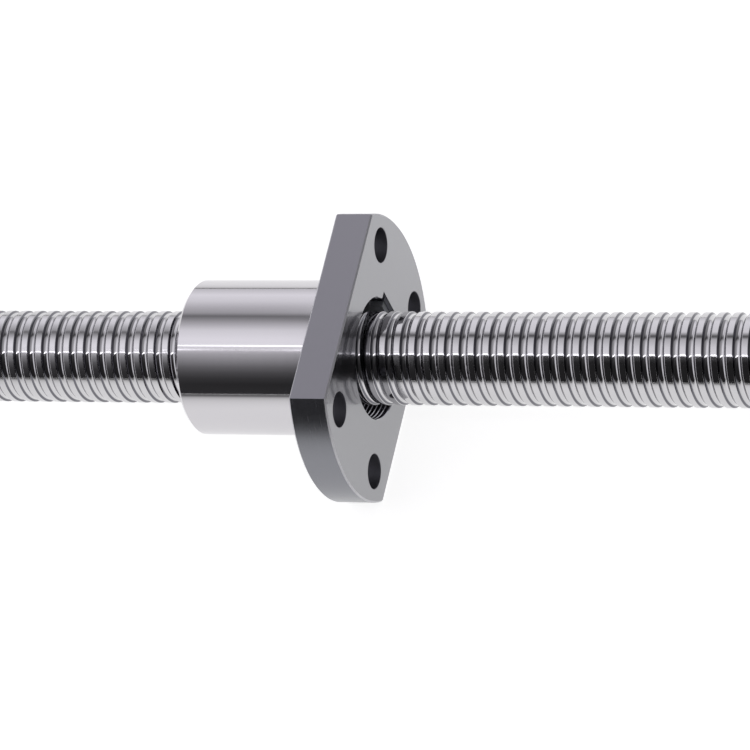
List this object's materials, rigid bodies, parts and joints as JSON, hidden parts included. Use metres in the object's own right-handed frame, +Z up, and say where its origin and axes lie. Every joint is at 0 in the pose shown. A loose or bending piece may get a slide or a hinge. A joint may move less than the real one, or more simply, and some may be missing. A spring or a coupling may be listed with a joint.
{
  "type": "ball screw",
  "caption": "Miniature ball screw: a steel shaft with a rolled ball track, and a flanged ball nut with flat flange sides, end deflectors and wiper rings.",
  "frame": {"origin": "on the shaft's axis, at the flange's rear face", "axes": "+X along the shaft, out of the flange's front face, +Z up from the flange's lower flat to its upper one"},
  "size_m": [0.112, 0.037, 0.024],
  "materials": {
    "shaft_steel": "polished",
    "nut_steel": "ground",
    "deflector_resin": "satin",
    "wiper_resin": "matte",
    "ball_steel": "polished"
  },
  "bodies": {
    "nut": {"ball_nut": "nut_steel", "front_deflector": "deflector_resin", "rear_deflector": "deflector_resin", "load_balls_1": "ball_steel", "load_balls_2": "ball_steel", "load_balls_3": "ball_steel", "return_balls": "ball_steel", "front_turn_balls": "ball_steel", "rear_turn_balls": "ball_steel"},
    "wipers": {"front_wiper": "wiper_resin", "rear_wiper": "wiper_resin"},
    "screw": {"screw_shaft": "shaft_steel"}
  },
  "joints": [
    {"name": "screw_turn", "type": "hinge", "parent": "nut", "child": "wipers", "pos_m": [0, 0, 0], "axis": [1, 0, 0], "range_deg": [-10081, 5401]},
    {"name": "screw_travel", "type": "slide", "parent": "wipers", "child": "screw", "axis": [1, 0, 0], "range_m": [-0.056, 0.03]}
  ],
  "couplings": [
    {"joint": "screw_turn", "follows": "screw_travel", "rad_per_m": 3141.6}
  ]
}
